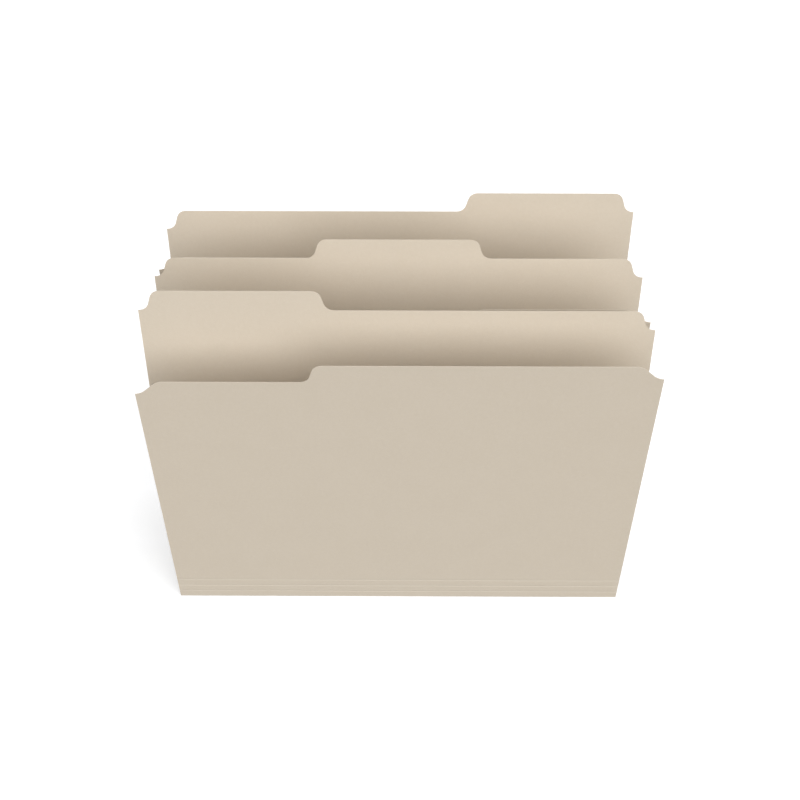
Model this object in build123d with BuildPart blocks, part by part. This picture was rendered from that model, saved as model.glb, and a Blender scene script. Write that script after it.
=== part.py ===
from build123d import *
from math import cos, radians, sin, tan
import os

# A set of three one-third-cut manila folders that stand open in a row.
# Each folder is one die-cut sheet of card. Its creases divide it into six panels: the tab leaf, the bottom
# fold, three score strips and the cover leaf. Every panel is pinched to a fine edge at its creases.
# Millimetres, +Z up, +Y to the back. The origin is under the middle of the set, on the surface it stands on.

# Sheet
sheet_width = 298.45
paper_thickness = 0.28

# Row
fold_pitch = 50.3
tab_leaf_lean = 7.5
cover_leaf_lean = 2.3

# Bottom fold and creases
fold_inner_radius = 0.15
crease_gap = 0.03
crease_tip = 0.04
crease_setback = 0.25
fold_end_setback = 0.1

# Expansion scores on the cover side, heights from the bottom of the fold
score_pitch = 6.35
score_count = 3

# Die-cut edge of the tab leaf, heights from the bottom of the fold
tab_height = 241.3
tab_step_height = 12.7
tab_end_drop = 12.7
tab_end_inset = 6.9
centre_tab_width = 99.2
end_tab_width = 106.05

# Die-cut edge of the cover leaf, heights from the bottom of the fold
cover_height = 218.8
undercut_depth = 12.7
undercut_margin = 5.55
cover_end_drop = 9.6
cover_end_inset = 8.3

# Slope and rounding of the die-cut steps
step_angle = 72.5
step_radius = 6.0
cover_end_angle = 43.0
cover_end_radius = 9.4
trim_allowance = 6.0

# Sizes that follow
half_width = sheet_width / 2
fold_outer_radius = fold_inner_radius + paper_thickness
fold_mid_radius = fold_inner_radius + paper_thickness / 2
crease_depth = (paper_thickness - crease_tip) / 2
body_height = tab_height - tab_step_height
score_heights = [score_pitch * (k + 1) - fold_outer_radius for k in range(score_count)]
front_reach = (
    fold_mid_radius
    + (cover_height - fold_outer_radius) * sin(radians(cover_leaf_lean))
    + paper_thickness / 2 * cos(radians(cover_leaf_lean))
)
back_reach = (
    fold_mid_radius
    + (tab_height - fold_outer_radius) * sin(radians(tab_leaf_lean))
    + paper_thickness / 2 * cos(radians(tab_leaf_lean))
)
front_fold_y = (front_reach - back_reach) / 2 - fold_pitch


def leaf_plane(hinge_y, lean):
    """The mid-plane of a leaf that leans back: its origin is on the crease and its Y runs up the leaf."""
    facing = (0, -cos(radians(lean)), sin(radians(lean)))
    return Plane(origin=(0, hinge_y, fold_outer_radius), x_dir=(1, 0, 0), z_dir=facing)


def step_points(levels, steps):
    """The corners of a stepped edge from left to right, and the rounding of each corner.

    levels are the heights between the steps, and each step is its middle, its slope and its radius."""
    points = [(-half_width - trim_allowance, levels[0] - fold_outer_radius)]
    radii = []
    for (middle, angle, radius), before, after in zip(steps, levels, levels[1:]):
        run = abs(after - before) / tan(radians(angle))
        points.append((middle - run / 2, before - fold_outer_radius))
        points.append((middle + run / 2, after - fold_outer_radius))
        radii += [radius, radius]
    points.append((half_width + trim_allowance, levels[-1] - fold_outer_radius))
    return points, radii


def pinch(end_face, setback):
    """Thins the end of a panel from both faces to a fine edge, as a crease does to card."""
    long_edges = end_face.edges().filter_by(Axis.X)
    chamfer(long_edges, length=crease_depth, length2=setback, reference=end_face)


def make_leaf(plane, low, levels, steps):
    """A leaf from the crease at height low up to its stepped edge."""
    points, radii = step_points(levels, steps)
    up_the_leaf = Axis(plane.origin, plane.y_dir)
    with BuildPart() as leaf:
        with BuildSketch(plane):
            with BuildLine():
                top_edge = FilletPolyline(*points, radius=radii)
                Polyline(top_edge @ 1, (points[-1][0], low), (points[0][0], low), top_edge @ 0)
            make_face()
            Rectangle(sheet_width, 2 * tab_height, mode=Mode.INTERSECT)
        extrude(amount=paper_thickness / 2, both=True)
        pinch(leaf.faces().sort_by(up_the_leaf)[0], crease_setback)
    return leaf


def make_strip(plane, low, high):
    """A plain strip between two creases."""
    up_the_leaf = Axis(plane.origin, plane.y_dir)
    with BuildPart() as strip:
        with BuildSketch(plane):
            with Locations((0, low)):
                Rectangle(sheet_width, high - low, align=(Align.CENTER, Align.MIN))
        extrude(amount=paper_thickness / 2, both=True)
        pinch(strip.faces().sort_by(up_the_leaf)[0], crease_setback)
        pinch(strip.faces().sort_by(up_the_leaf)[-1], crease_setback)
    return strip


def make_fold(fold_y):
    """The bend that the folder stands on: half a tube of card, open upwards."""
    with BuildPart() as fold:
        with BuildSketch(Plane(origin=(0, fold_y, fold_outer_radius), x_dir=(0, 1, 0), z_dir=(1, 0, 0))):
            Circle(fold_outer_radius)
            Circle(fold_inner_radius, mode=Mode.SUBTRACT)
            with Locations((0, -crease_gap)):
                Rectangle(
                    2 * fold_outer_radius,
                    2 * fold_outer_radius,
                    align=(Align.CENTER, Align.MIN),
                    mode=Mode.SUBTRACT,
                )
        extrude(amount=half_width, both=True)
        for side in (0, -1):
            ends = fold.faces().filter_by(Axis.Z).sort_by(Axis.Y)
            pinch(ends[side], fold_end_setback)
    return fold


def keep(builder, label):
    """Names a finished panel and writes it."""
    builder.part.label = label
    export_step(builder.part, f"parts/{label}.step")


# The stepped edges of the three sheets, from left to right
left_end = (tab_end_inset - half_width, step_angle, step_radius)
right_end = (half_width - tab_end_inset, step_angle, step_radius)
cover_left_end = (cover_end_inset - half_width, cover_end_angle, cover_end_radius)
cover_right_end = (half_width - cover_end_inset, cover_end_angle, cover_end_radius)
undercut_height = cover_height - undercut_depth
left_tab_edge = end_tab_width - half_width
right_tab_edge = half_width - end_tab_width
centre_tab_edge = centre_tab_width / 2


def tab_step(middle):
    return (middle, step_angle, step_radius)


folders = {
    "front_folder": {
        "tab_levels": [tab_height - tab_end_drop, tab_height, body_height, body_height - tab_end_drop],
        "tab_steps": [left_end, tab_step(left_tab_edge), right_end],
        "cover_levels": [
            undercut_height - cover_end_drop,
            undercut_height,
            cover_height,
            cover_height - cover_end_drop,
        ],
        "cover_steps": [cover_left_end, tab_step(left_tab_edge - undercut_margin), cover_right_end],
    },
    "middle_folder": {
        "tab_levels": [
            body_height - tab_end_drop,
            body_height,
            tab_height,
            body_height,
            body_height - tab_end_drop,
        ],
        "tab_steps": [left_end, tab_step(-centre_tab_edge), tab_step(centre_tab_edge), right_end],
        "cover_levels": [
            cover_height - cover_end_drop,
            cover_height,
            undercut_height,
            cover_height,
            cover_height - cover_end_drop,
        ],
        "cover_steps": [
            cover_left_end,
            tab_step(undercut_margin - centre_tab_edge),
            tab_step(centre_tab_edge - undercut_margin),
            cover_right_end,
        ],
    },
    "rear_folder": {
        "tab_levels": [body_height - tab_end_drop, body_height, tab_height, tab_height - tab_end_drop],
        "tab_steps": [left_end, tab_step(right_tab_edge), right_end],
        "cover_levels": [
            cover_height - cover_end_drop,
            cover_height,
            undercut_height,
            undercut_height - cover_end_drop,
        ],
        "cover_steps": [cover_left_end, tab_step(right_tab_edge + undercut_margin), cover_right_end],
    },
}

# Build every panel of every folder
os.makedirs("parts", exist_ok=True)
for place, (name, cut) in enumerate(folders.items()):
    fold_y = front_fold_y + place * fold_pitch
    tab_plane = leaf_plane(fold_y + fold_mid_radius, tab_leaf_lean)
    cover_plane = leaf_plane(fold_y - fold_mid_radius, -cover_leaf_lean)

    keep(make_fold(fold_y), f"{name}_bottom_fold")
    keep(make_leaf(tab_plane, crease_gap, cut["tab_levels"], cut["tab_steps"]), f"{name}_tab_leaf")

    creases = [0.0] + score_heights
    for number, (low, high) in enumerate(zip(creases, creases[1:]), start=1):
        strip = make_strip(cover_plane, low + crease_gap, high - crease_gap)
        keep(strip, f"{name}_score_strip_{number}")

    last_score = score_heights[-1] + crease_gap
    keep(make_leaf(cover_plane, last_score, cut["cover_levels"], cut["cover_steps"]), f"{name}_cover_leaf")
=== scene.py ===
from math import cos, pi, radians, sin, tan

import bmesh
import bpy
from mathutils import Euler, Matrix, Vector


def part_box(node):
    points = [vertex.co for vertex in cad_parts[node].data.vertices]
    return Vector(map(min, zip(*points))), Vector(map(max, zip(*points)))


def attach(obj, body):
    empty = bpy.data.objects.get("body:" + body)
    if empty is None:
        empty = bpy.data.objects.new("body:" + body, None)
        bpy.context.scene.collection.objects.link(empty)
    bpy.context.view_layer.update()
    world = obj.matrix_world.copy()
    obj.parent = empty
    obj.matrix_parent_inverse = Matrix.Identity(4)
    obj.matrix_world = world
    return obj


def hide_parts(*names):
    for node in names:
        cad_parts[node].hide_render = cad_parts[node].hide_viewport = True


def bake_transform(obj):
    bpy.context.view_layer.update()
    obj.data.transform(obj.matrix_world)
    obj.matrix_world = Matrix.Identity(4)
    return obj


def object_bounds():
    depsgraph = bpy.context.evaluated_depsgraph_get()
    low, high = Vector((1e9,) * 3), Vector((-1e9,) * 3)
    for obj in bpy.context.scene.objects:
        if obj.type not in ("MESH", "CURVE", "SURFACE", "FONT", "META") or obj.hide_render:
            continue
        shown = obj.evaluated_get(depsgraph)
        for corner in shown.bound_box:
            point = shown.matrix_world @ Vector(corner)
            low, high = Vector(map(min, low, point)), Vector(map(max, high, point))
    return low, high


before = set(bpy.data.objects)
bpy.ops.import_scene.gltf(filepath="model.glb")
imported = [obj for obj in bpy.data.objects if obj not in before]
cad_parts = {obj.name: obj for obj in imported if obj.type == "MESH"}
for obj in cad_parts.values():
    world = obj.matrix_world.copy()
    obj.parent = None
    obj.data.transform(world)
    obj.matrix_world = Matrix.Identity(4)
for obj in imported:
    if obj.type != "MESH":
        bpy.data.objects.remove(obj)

# The looks of three manila folders that stand open in a row.
# Each folder is shown as continuous card.
# Lengths are in millimetres until a mesh is made, and MM turns them into metres. Angles are in degrees.

MM = 0.001
cad_low, cad_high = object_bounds()

# Sheet, fold and creases
card_thickness = 0.28
half_width = cad_high.x / MM
fold_inner_radius = 0.15
fold_outer_radius = fold_inner_radius + card_thickness
fold_mid_radius = fold_inner_radius + card_thickness / 2
tab_leaf_lean = 7.5
cover_leaf_lean = 2.3
crease_bend = 0.5

# Expansion scores on the cover side: pressed lines, at heights above the crease of the bottom fold
score_pitch = 6.35
scores = [score_pitch * k - fold_outer_radius for k in (1, 2, 3)]
score_depth = 0.11
score_half_width = 1.0

# Die-cut edge of the tab leaf, heights from the bottom of the fold
tab_height = 241.3
tab_step_height = 12.7
tab_end_drop = 12.7
tab_end_inset = 6.9
centre_tab_width = 99.2
end_tab_width = 106.05

# Die-cut edge of the cover leaf, heights from the bottom of the fold
cover_height = 218.8
undercut_depth = 12.7
undercut_margin = 5.55
cover_end_drop = 9.6
cover_end_inset = 8.3

# Slope and rounding of the die-cut steps
step_angle = 72.5
step_radius = 6.0
cover_end_angle = 43.0
cover_end_radius = 9.4
trim_allowance = 6.0

# Paler card along the creases: how far it reaches up from the bottom fold, and how strong it is on a score
paleness_reach = 1.2
score_paleness = 1.0

# How far apart the folders, and the two faces of a sheet, lie in the card's texture
folder_shift = 700.0
face_shift = 90.0

# Mesh density
arc_turn = 9.0
column_gap = 30.0
least_column_gap = 0.05
fold_rows = 8
bend_rows = 10
edge_rows = (0.3, 0.6, 0.85, 1.0)
sharp_angle = 40.0

# Card colours
card_colour = (0.640, 0.563, 0.460, 1)
card_shade = (0.585, 0.507, 0.402, 1)
card_light = (0.694, 0.629, 0.534, 1)
fibre_dark = (0.480, 0.392, 0.280, 1)
fibre_pale = (0.760, 0.700, 0.600, 1)
speck_colour = (0.360, 0.270, 0.165, 1)
edge_colour = (0.690, 0.618, 0.518, 1)
edge_shade = (0.590, 0.512, 0.405, 1)
white = (1, 1, 1, 1)

# Card texture: features per metre
cloud_scale = 45.0
speck_scale = 210.0
pulp_scale = 420.0
layer_scale = 600.0
crease_break_scale = 1500.0
tooth_scale = 3200.0
drag_scale = 4000.0

# Card texture: how strongly each marking tints the card
cloud_strength = 0.16
pulp_strength = 0.22
dark_fibre_strength = 0.20
pale_fibre_strength = 0.30
speck_strength = 0.45
layer_strength = 0.3
drag_strength = 0.5
least_paleness = 0.2
most_paleness = 0.8

# Fibres in the card: direction, length and width of each kind, and the crests of noise that show as fibres
fibre_kinds = ((12, 1.9, 0.10), (74, 1.4, 0.09), (133, 1.7, 0.11))
pale_fibre_turn = 31
dark_fibre_crest = 0.66
pale_fibre_crest = 0.65
crest_softness = 0.08

# Relief and gloss
relief_height = 0.02
card_relief = 0.35
edge_relief = 0.5
fibre_relief = 0.5
pulp_relief = 0.8
card_roughness = (0.66, 0.80)
edge_roughness = (0.82, 0.95)
paper_ior = 1.45
card_shine = 0.12
edge_shine = 0.1

# Floor: its colour and added light to the eye, and the light that it sends up to the card
floor_size = 80000.0
floor_gap = 0.02
floor_colour = (0.90, 0.90, 0.90, 1)
floor_lift = 0.24
floor_bounce = 0.151

# Light: an even white dome, weaker and a little cooler overhead, and a soft lamp from the front right
dome_colour = (1.21, 1.21, 1.21, 1)
dome_top_colour = (0.360, 0.384, 0.414, 1)
dome_fade_from = 0.50
dome_fade_to = 1.00
key_level = 1.67
key_turn = 34.0
key_height = 36.0
key_softness = 70.0

# Camera, placed from the middle of the front fold on the floor
camera_from_fold = Vector((3.54, -495.1, 648.4))
camera_down = 43.132
camera_turn = 0.259
camera_lens = 52.68
camera_sensor = 36.0

# Levels of each die-cut edge from left to right, and the steps between them: middle, slope and radius
body_height = tab_height - tab_step_height
undercut_height = cover_height - undercut_depth
left_tab_edge = end_tab_width - half_width
right_tab_edge = half_width - end_tab_width
centre_tab_edge = centre_tab_width / 2
left_end = (tab_end_inset - half_width, step_angle, step_radius)
right_end = (half_width - tab_end_inset, step_angle, step_radius)
cover_left_end = (cover_end_inset - half_width, cover_end_angle, cover_end_radius)
cover_right_end = (half_width - cover_end_inset, cover_end_angle, cover_end_radius)


def step(middle):
    """A step at the side of a tab or of an undercut."""
    return (middle, step_angle, step_radius)


folders = {
    "front": {
        "tab_levels": [
            tab_height - tab_end_drop,
            tab_height,
            body_height,
            body_height - tab_end_drop,
        ],
        "tab_steps": [left_end, step(left_tab_edge), right_end],
        "cover_levels": [
            undercut_height - cover_end_drop,
            undercut_height,
            cover_height,
            cover_height - cover_end_drop,
        ],
        "cover_steps": [cover_left_end, step(left_tab_edge - undercut_margin), cover_right_end],
    },
    "middle": {
        "tab_levels": [
            body_height - tab_end_drop,
            body_height,
            tab_height,
            body_height,
            body_height - tab_end_drop,
        ],
        "tab_steps": [left_end, step(-centre_tab_edge), step(centre_tab_edge), right_end],
        "cover_levels": [
            cover_height - cover_end_drop,
            cover_height,
            undercut_height,
            cover_height,
            cover_height - cover_end_drop,
        ],
        "cover_steps": [
            cover_left_end,
            step(undercut_margin - centre_tab_edge),
            step(centre_tab_edge - undercut_margin),
            cover_right_end,
        ],
    },
    "rear": {
        "tab_levels": [
            body_height - tab_end_drop,
            body_height,
            tab_height,
            tab_height - tab_end_drop,
        ],
        "tab_steps": [left_end, step(right_tab_edge), right_end],
        "cover_levels": [
            cover_height - cover_end_drop,
            cover_height,
            undercut_height,
            undercut_height - cover_end_drop,
        ],
        "cover_steps": [cover_left_end, step(right_tab_edge + undercut_margin), cover_right_end],
    },
}

# Rows of points up the sheet, heights from the crease above the bottom fold
round_the_fold = [-fold_mid_radius * pi / 2 * (1 - k / fold_rows) for k in range(fold_rows)]
over_the_bend = [crease_bend * k / bend_rows for k in range(bend_rows + 1)]
above_the_bend = [0.7, 1.0, 1.4, 2.0, 4.0]
beside_a_score = [0.1, 0.2, 0.3, 0.4, 0.5, 0.65, 0.8, 1.0, 1.4]
low_on_the_leaf = [8.0, 14.0]
up_the_leaf = [25.0, 60.0, 100.0, 140.0, 180.0]


def below(score):
    return [score - away for away in reversed(beside_a_score)] + [score]


def above(score):
    return [score] + [score + away for away in beside_a_score]


def across(score):
    return below(score) + above(score)[1:]


crease_rows = round_the_fold + over_the_bend + above_the_bend
tab_rows = crease_rows + low_on_the_leaf + up_the_leaf
bottom_rows = crease_rows + below(scores[0])
cover_rows = above(scores[0]) + across(scores[1]) + across(scores[2]) + up_the_leaf


# Shape of the card


def rounded(before, corner, after, radius):
    """The arc that rounds a corner, as points about arc_turn apart."""
    back = (before - corner).normalized()
    on = (after - corner).normalized()
    turn = pi - back.angle(on)
    reach = radius * tan(turn / 2)
    centre = corner + (back + on).normalized() * (radius / cos(turn / 2))
    start = corner + back * reach - centre
    end = corner + on * reach - centre
    count = max(2, round(turn / radians(arc_turn)))
    return [centre + start.slerp(end, k / count).normalized() * radius for k in range(count + 1)]


def stepped_edge(levels, steps):
    """The die-cut edge of a leaf from left to right, as (x, height above the crease)."""
    corners = [Vector((-half_width - trim_allowance, levels[0] - fold_outer_radius))]
    radii = []
    for (middle, angle, radius), before, after in zip(steps, levels, levels[1:]):
        run = abs(after - before) / tan(radians(angle))
        corners.append(Vector((middle - run / 2, before - fold_outer_radius)))
        corners.append(Vector((middle + run / 2, after - fold_outer_radius)))
        radii += [radius, radius]
    corners.append(Vector((half_width + trim_allowance, levels[-1] - fold_outer_radius)))
    edge = [corners[0]]
    for before, corner, after, radius in zip(corners, corners[1:], corners[2:], radii):
        edge += rounded(before, corner, after, radius)
    return edge + [corners[-1]]


def height_at(edge, x):
    """The height of a die-cut edge at a place across the sheet."""
    for a, b in zip(edge, edge[1:]):
        if a.x <= x <= b.x:
            return a.y + (b.y - a.y) * (x - a.x) / (b.x - a.x)
    return edge[-1].y


def columns_for(edge=()):
    """Places across the sheet: both sides, every point of the edge, and others on the long runs."""
    within = [point.x for point in edge if abs(point.x) < half_width - least_column_gap]
    marks = [-half_width] + sorted(within) + [half_width]
    columns = [marks[0]]
    for a, b in zip(marks, marks[1:]):
        parts = max(1, round((b - a) / column_gap))
        columns += [a + (b - a) * k / parts for k in range(1, parts + 1)]
    return columns


def score_dent(height):
    """How far the scores press the card inwards at a height."""
    dent = 0.0
    for score in scores:
        away = min(1.0, abs(height - score) / score_half_width)
        dent += score_depth * (1 + cos(pi * away)) / 2
    return dent


def crease_paleness(height, scored):
    """How much paler the card is: 1 on the bottom fold, the score level on a score, and 0 away from them.
    """
    paleness = min(1.0, max(0.0, 1 - height / paleness_reach))
    if scored:
        nearest = min(abs(height - score) for score in scores)
        paleness = max(paleness, score_paleness * (1 - nearest / score_half_width))
    return paleness


class Side:
    """The cross-section of one side of a folder, by the height up its sheet from the crease.

    Below the crease the height is negative and runs round the bottom fold."""

    def __init__(self, fold_y, way, lean, scored):
        self.way = way
        self.scored = scored
        self.up = Vector((0, way * sin(radians(lean)), cos(radians(lean))))
        self.out = Vector((0, way * cos(radians(lean)), -sin(radians(lean))))
        self.centre = Vector((0, fold_y, fold_outer_radius))
        self.crease = self.centre + Vector((0, way * fold_mid_radius, 0))

    def at(self, height):
        """A place on the middle of the card, and the direction out of the folder there."""
        if height < 0:
            turn = height / fold_mid_radius
            out = Vector((0, self.way * cos(turn), sin(turn)))
            return self.centre + out * fold_mid_radius, out
        place = self.crease + self.up * height
        if self.scored:
            place -= self.out * score_dent(height)
        return place, self.out


def lines_of_points(rows, columns, edge):
    """The heights of each column's points: the rows, and then up to the edge if there is one."""
    lines = []
    for x in columns:
        line = list(rows)
        if edge:
            gap = height_at(edge, x) - rows[-1]
            line += [rows[-1] + gap * share for share in edge_rows]
        lines.append(line)
    return lines


def card_points(side, columns, lines, number):
    """The points of the outer and then the inner face, with their places on the flat sheet and how pale
    the creases make them.
    """
    places, flat, paleness = [], [], []
    for face in (1, -1):
        for x, line in zip(columns, lines):
            for height in line:
                middle, out = side.at(height)
                place = Vector((x, 0, 0)) + middle + out * (face * card_thickness / 2)
                places.append(place * MM)
                along = x + number * folder_shift
                flat.append(Vector((along, side.way * height, face * face_shift)) * MM)
                paleness.append(crease_paleness(height, side.scored))
    return places, flat, paleness


def card_quads(wide, tall):
    """The quads of both faces, of wide by tall points each, and of the rim that joins them."""

    def point(face, i, j):
        return (face * wide + i) * tall + j

    faces, rim = [], []
    for i in range(wide - 1):
        for j in range(tall - 1):
            for face in (0, 1):
                low = [point(face, i, j), point(face, i + 1, j)]
                high = [point(face, i + 1, j + 1), point(face, i, j + 1)]
                faces.append(low + high)
    for i in (0, wide - 1):
        for j in range(tall - 1):
            rim.append([point(0, i, j), point(0, i, j + 1), point(1, i, j + 1), point(1, i, j)])
    for j in (0, tall - 1):
        for i in range(wide - 1):
            rim.append([point(0, i, j), point(0, i + 1, j), point(1, i + 1, j), point(1, i, j)])
    return faces, rim


def turn_faces_outwards(mesh):
    work = bmesh.new()
    work.from_mesh(mesh)
    bmesh.ops.recalc_face_normals(work, faces=work.faces)
    work.to_mesh(mesh)
    work.free()


def panel(name, side, rows, number, edge=()):
    """One closed piece of card, up to its last row or up to a die-cut edge."""
    columns = columns_for(edge)
    lines = lines_of_points(rows, columns, edge)
    places, flat, paleness = card_points(side, columns, lines, number)
    faces, rim = card_quads(len(columns), len(lines[0]))

    mesh = bpy.data.meshes.new(name)
    mesh.from_pydata(places, [], faces + rim)
    mesh.materials.append(card)
    mesh.materials.append(cut_edge)
    for polygon in mesh.polygons:
        polygon.use_smooth = True
        polygon.material_index = int(polygon.index >= len(faces))
    sheet = mesh.attributes.new("sheet", "FLOAT_VECTOR", "POINT")
    sheet.data.foreach_set("vector", [value for place in flat for value in place])
    mesh.attributes.new("paleness", "FLOAT", "POINT").data.foreach_set("value", paleness)
    turn_faces_outwards(mesh)
    mesh.set_sharp_from_angle(angle=radians(sharp_angle))

    piece = bpy.data.objects.new(name, mesh)
    bpy.context.scene.collection.objects.link(piece)
    return piece


# Materials


class Tree:
    """The nodes of a material or a world, with short ways to add the kinds used here."""

    def __init__(self, owner):
        owner.use_nodes = True
        self.nodes = owner.node_tree.nodes
        self.links = owner.node_tree.links
        self.nodes.clear()

    def add(self, kind, inputs=None, **settings):
        """A new node. An input is linked to another node's output, or set to a plain value."""
        node = self.nodes.new(kind)
        for name, value in settings.items():
            setattr(node, name, value)
        for name, value in (inputs or {}).items():
            if isinstance(value, bpy.types.NodeSocket):
                self.links.new(value, node.inputs[name])
            else:
                node.inputs[name].default_value = value
        return node

    def noise(self, vector, scale, detail=2.0, rough=0.5):
        inputs = {"Vector": vector, "Scale": scale, "Detail": detail, "Roughness": rough}
        return self.add("ShaderNodeTexNoise", inputs).outputs["Fac"]

    def spread(self, value, low, high, to_low, to_high):
        """value from low to high becomes to_low to to_high, and stays at those ends."""
        inputs = {"Value": value, "From Min": low, "From Max": high}
        inputs |= {"To Min": to_low, "To Max": to_high}
        return self.add("ShaderNodeMapRange", inputs).outputs["Result"]

    def maths(self, operation, first, second):
        inputs = {0: first, 1: second}
        return self.add("ShaderNodeMath", inputs, operation=operation).outputs["Value"]

    def tint(self, base, colour, amount):
        """base moved towards colour by amount."""
        inputs = {"Factor": amount, 6: base, 7: colour}
        return self.add("ShaderNodeMix", inputs, data_type="RGBA").outputs[2]

    def attribute(self, name, output):
        return self.add("ShaderNodeAttribute", attribute_name=name).outputs[output]

    def fibres(self, vector, turn, length, width, crest):
        """Sparse fibres that lie one way: the crests of noise that is stretched along them."""
        inputs = {
            "Vector": vector,
            "Rotation": (0, 0, radians(turn)),
            "Scale": (length * MM, width * MM, width * MM),
        }
        stretched = self.add("ShaderNodeMapping", inputs, vector_type="TEXTURE").outputs["Vector"]
        return self.spread(self.noise(stretched, 1.0, 1.0), crest, crest + crest_softness, 0.0, 1.0)

    def bump(self, height, strength):
        inputs = {"Height": height, "Strength": strength, "Distance": relief_height * MM}
        return self.add("ShaderNodeBump", inputs).outputs["Normal"]

    def paper(self, colour, roughness, normal, shine):
        """The shader of bare paper, and the material's output."""
        inputs = {"Base Color": colour, "Roughness": roughness, "Normal": normal}
        inputs |= {"IOR": paper_ior, "Specular IOR Level": shine}
        shader = self.add("ShaderNodeBsdfPrincipled", inputs)
        self.add("ShaderNodeOutputMaterial", {"Surface": shader.outputs["BSDF"]})

    def shown_rays(self):
        """1 for rays from the camera, a mirror or glass, and 0 for the rest."""
        path = self.add("ShaderNodeLightPath").outputs
        seen = self.maths("MAXIMUM", path["Is Camera Ray"], path["Is Glossy Ray"])
        return self.maths("MAXIMUM", seen, path["Is Transmission Ray"])


def pulp_colour(tree, sheet, pulp):
    """Wide soft clouds, and over them finer pale and dark flecks of pulp."""
    clouds = tree.noise(sheet, cloud_scale, 3.0, 0.55)
    clouded = tree.spread(clouds, 0.35, 0.75, 0.0, cloud_strength)
    pale = tree.spread(pulp, 0.50, 0.80, 0.0, pulp_strength)
    dark = tree.spread(pulp, 0.46, 0.20, 0.0, pulp_strength)
    colour = tree.tint(card_colour, card_shade, clouded)
    colour = tree.tint(colour, card_light, pale)
    return tree.tint(colour, card_shade, dark)


def with_fibres(tree, sheet, colour):
    """Dark and pale fibres that lie in several directions, and where they are."""
    anywhere = 0.0
    for turn, length, width in fibre_kinds:
        dark = tree.fibres(sheet, turn, length, width, dark_fibre_crest)
        pale = tree.fibres(sheet, turn + pale_fibre_turn, length, width, pale_fibre_crest)
        colour = tree.tint(colour, fibre_dark, tree.maths("MULTIPLY", dark, dark_fibre_strength))
        colour = tree.tint(colour, fibre_pale, tree.maths("MULTIPLY", pale, pale_fibre_strength))
        anywhere = tree.maths("MAXIMUM", anywhere, tree.maths("MAXIMUM", dark, pale))
    return colour, anywhere


def with_specks(tree, sheet, colour):
    """A few small brown specks of bark."""
    cells = tree.add("ShaderNodeTexVoronoi", {"Vector": sheet, "Scale": speck_scale}).outputs
    chance = tree.add("ShaderNodeSeparateColor", {"Color": cells["Color"]}).outputs["Red"]
    chosen = tree.spread(chance, 0.70, 0.95, 0.0, speck_strength)
    dot = tree.spread(cells["Distance"], 0.045, 0.025, 0.0, 1.0)
    return tree.tint(colour, speck_colour, tree.maths("MULTIPLY", chosen, dot))


def with_paler_creases(tree, sheet, colour):
    """Paler, slightly broken card along the creases."""
    # The card is tinted paler in broken patches along the bottom fold and the scores
    broken = tree.spread(tree.noise(sheet, crease_break_scale, 3.0, 0.65), 0.42, 0.68, least_paleness, most_paleness)
    paled = tree.maths("MULTIPLY", tree.attribute("paleness", "Fac"), broken)
    return tree.tint(colour, card_light, paled)


def card_material():
    """Manila card: pulp, fibres and specks under a light tooth and a dull smooth finish."""
    material = bpy.data.materials.new("manila_card")
    tree = Tree(material)
    sheet = tree.attribute("sheet", "Vector")
    pulp = tree.noise(sheet, pulp_scale, 3.0, 0.6)
    colour = pulp_colour(tree, sheet, pulp)
    colour, fibres = with_fibres(tree, sheet, colour)
    colour = with_specks(tree, sheet, colour)
    colour = with_paler_creases(tree, sheet, colour)

    tooth = tree.noise(sheet, tooth_scale, 2.0, 0.6)
    relief = tree.maths("ADD", tooth, tree.maths("MULTIPLY", fibres, fibre_relief))
    relief = tree.maths("ADD", relief, tree.maths("MULTIPLY", pulp, pulp_relief))
    roughness = tree.spread(pulp, 0.3, 0.7, *card_roughness)
    tree.paper(colour, roughness, tree.bump(relief, card_relief), card_shine)
    return material


def cut_edge_material():
    """The die-cut edge: bare pulp, paler and rougher than the faces, with the knife's drag on it."""
    material = bpy.data.materials.new("manila_cut_edge")
    tree = Tree(material)
    true_depth = (1, 1, card_thickness / (2 * face_shift))
    inputs = {"Vector": tree.attribute("sheet", "Vector"), "Scale": true_depth}
    edge = tree.add("ShaderNodeMapping", inputs).outputs["Vector"]
    drag = tree.noise(edge, drag_scale, 3.0, 0.6)
    layers = tree.noise(edge, layer_scale)
    dragged = tree.spread(drag, 0.45, 0.75, 0.0, drag_strength)
    layered = tree.spread(layers, 0.5, 0.7, 0.0, layer_strength)
    colour = tree.tint(edge_colour, edge_shade, dragged)
    colour = tree.tint(colour, card_colour, layered)
    roughness = tree.spread(drag, 0.3, 0.7, *edge_roughness)
    tree.paper(colour, roughness, tree.bump(drag, edge_relief), edge_shine)
    return material


def floor_material():
    """White to the eye, with the shadow that falls on it, and an even glow to the card above it."""
    material = bpy.data.materials.new("floor_white")
    tree = Tree(material)
    lit = tree.add("ShaderNodeBsdfDiffuse", {"Color": floor_colour}).outputs["BSDF"]
    glow = tree.add("ShaderNodeEmission", {"Strength": floor_lift}).outputs["Emission"]
    shown = tree.add("ShaderNodeAddShader", {0: lit, 1: glow}).outputs["Shader"]
    bounce = tree.add("ShaderNodeEmission", {"Strength": floor_bounce}).outputs["Emission"]
    either = tree.add("ShaderNodeMixShader", {"Fac": tree.shown_rays(), 1: bounce, 2: shown})
    tree.add("ShaderNodeOutputMaterial", {"Surface": either.outputs["Shader"]})
    return material


card = card_material()
cut_edge = cut_edge_material()

# Folders


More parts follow.
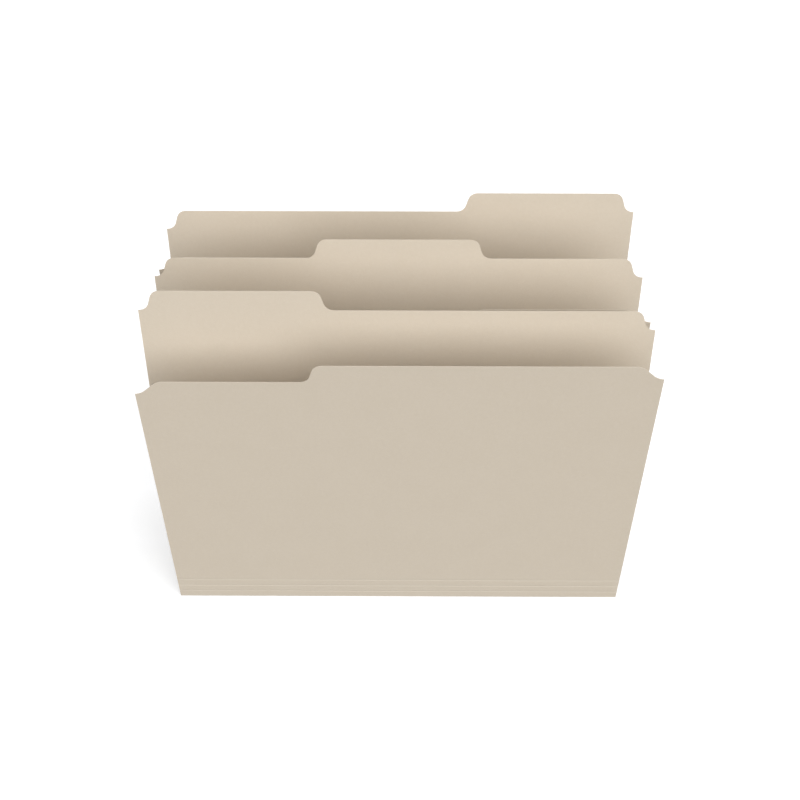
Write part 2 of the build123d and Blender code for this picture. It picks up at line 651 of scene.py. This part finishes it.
def add_folder(place, cut, number):
    """The card of one folder in three pieces."""
    low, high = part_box(f"{place}_folder_bottom_fold")
    fold_y = (low.y + high.y) / 2 / MM
    tab_side = Side(fold_y, 1, tab_leaf_lean, False)
    cover_side = Side(fold_y, -1, cover_leaf_lean, True)
    tab_edge = stepped_edge(cut["tab_levels"], cut["tab_steps"])
    cover_edge = stepped_edge(cut["cover_levels"], cut["cover_steps"])

    tab = panel(f"{place}_tab_card", tab_side, tab_rows, number, tab_edge)
    bottom = panel(f"{place}_bottom_card", cover_side, bottom_rows, number)
    cover = panel(f"{place}_cover_card", cover_side, cover_rows, number, cover_edge)

    leaf = f"{place}_folder_cover_leaf"
    strip = f"{place}_folder_score_strip"
    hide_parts(f"{place}_folder_tab_leaf")
    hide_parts(f"{place}_folder_bottom_fold", f"{strip}_1")
    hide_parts(f"{strip}_2", f"{strip}_3", leaf)

    # The front folder's tab leaf and bottom fold are one body, and so its tab card doesn't bend.
    held = "front_tab_leaf" if place == "front" else f"{place}_bottom_fold"
    if place == "front":
        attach(tab, held)
    else:
        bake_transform(tab)
    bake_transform(bottom)
    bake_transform(cover)


for number, (place, cut) in enumerate(folders.items()):
    add_folder(place, cut, number)

# Stage, light and camera


def add_floor():
    far = floor_size / 2 * MM
    low = -floor_gap * MM
    corners = [(-far, -far, low), (far, -far, low), (far, far, low), (-far, far, low)]
    mesh = bpy.data.meshes.new("floor")
    mesh.from_pydata(corners, [], [(0, 1, 2, 3)])
    mesh.materials.append(floor_material())
    floor = bpy.data.objects.new("floor", mesh)
    bpy.context.scene.collection.objects.link(floor)


def add_dome():
    """Light from all round that fades towards the top, behind a plain white background."""
    world = bpy.data.worlds.new("dome")
    tree = Tree(world)
    direction = tree.add("ShaderNodeTexCoord").outputs["Generated"]
    upwards = tree.add("ShaderNodeSeparateXYZ", {"Vector": direction}).outputs["Z"]
    fade = tree.spread(upwards, dome_fade_from, dome_fade_to, 0.0, 1.0)
    light = tree.tint(dome_colour, dome_top_colour, fade)
    dome = tree.add("ShaderNodeBackground", {"Color": light}).outputs["Background"]
    backdrop = tree.add("ShaderNodeBackground", {"Color": white}).outputs["Background"]
    either = tree.add("ShaderNodeMixShader", {"Fac": tree.shown_rays(), 1: dome, 2: backdrop})
    tree.add("ShaderNodeOutputWorld", {"Surface": either.outputs["Shader"]})
    bpy.context.scene.world = world


def add_key():
    lamp = bpy.data.lights.new("key", "SUN")
    lamp.energy = key_level
    lamp.angle = radians(key_softness)
    key = bpy.data.objects.new("key", lamp)
    key.rotation_euler = Euler((radians(90 - key_height), 0, radians(key_turn)), "XYZ")
    bpy.context.scene.collection.objects.link(key)


def add_camera():
    low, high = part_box("front_folder_bottom_fold")
    front_fold = Vector((0, (low.y + high.y) / 2, 0))
    data = bpy.data.cameras.new("camera")
    data.sensor_width = camera_sensor
    data.lens = camera_lens
    camera = bpy.data.objects.new("camera", data)
    camera.location = front_fold + camera_from_fold * MM
    camera.rotation_euler = Euler((radians(90 - camera_down), 0, radians(camera_turn)), "XYZ")
    bpy.context.scene.collection.objects.link(camera)
    bpy.context.scene.camera = camera


add_floor()
add_dome()
add_key()
add_camera()
bpy.context.scene.view_settings.view_transform = "Standard"
